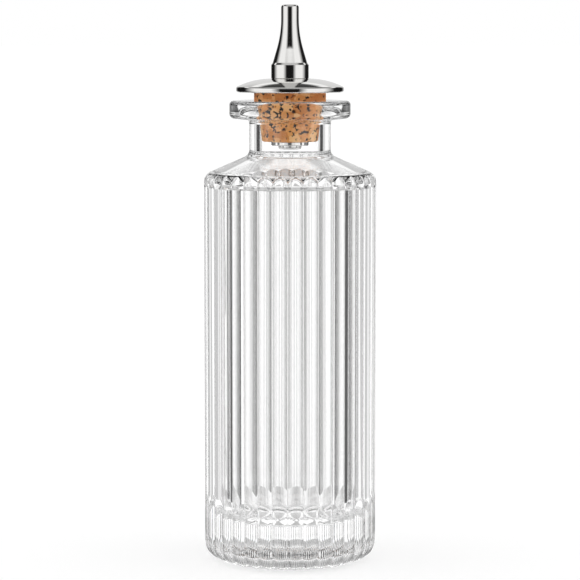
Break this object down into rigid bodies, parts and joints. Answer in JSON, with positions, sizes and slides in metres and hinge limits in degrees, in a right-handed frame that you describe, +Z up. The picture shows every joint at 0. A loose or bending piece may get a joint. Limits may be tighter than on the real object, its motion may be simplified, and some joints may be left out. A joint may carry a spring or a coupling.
{
  "type": "bitters bottle",
  "caption": "Clear ribbed glass bitters bottle with a heavy base, sloped shoulder and flanged lip, closed by a lift-out cork stopper with a domed metal disc and dasher nozzle.",
  "frame": {"origin": "centre of the foot ring, in the plane that the bottle stands on", "axes": "+Z up along the bottle's axis, from the base to the dasher's tip; -Y is the front, where a valley between two ribs faces; all pieces are turned about +Z"},
  "size_m": [0.049, 0.0488, 0.1583],
  "materials": {
    "clear_glass": "clear pressed glass, fire-polished smooth, upright ribs on the outside",
    "cork": "agglomerated natural cork, matt, tan granules with dark specks and small pits",
    "polished_steel": "turned metal polished to a mirror"
  },
  "bodies": {
    "bottle": {"glass_bottle": "clear_glass"},
    "cork": {"cork_stopper": "cork"},
    "dasher": {"cap_disc": "polished_steel", "dasher_nozzle": "polished_steel", "stem_tube": "polished_steel", "clamp_washer": "polished_steel", "end_nut": "polished_steel"}
  },
  "joints": [
    {"name": "stopper_lift", "type": "slide", "parent": "bottle", "child": "cork", "axis": [0, 0, 1], "range_m": [0, 0.04]},
    {"name": "dasher_turn", "type": "hinge", "parent": "cork", "child": "dasher", "pos_m": [0, 0, 0.1337], "axis": [0, 0, 1], "continuous": true}
  ]
}
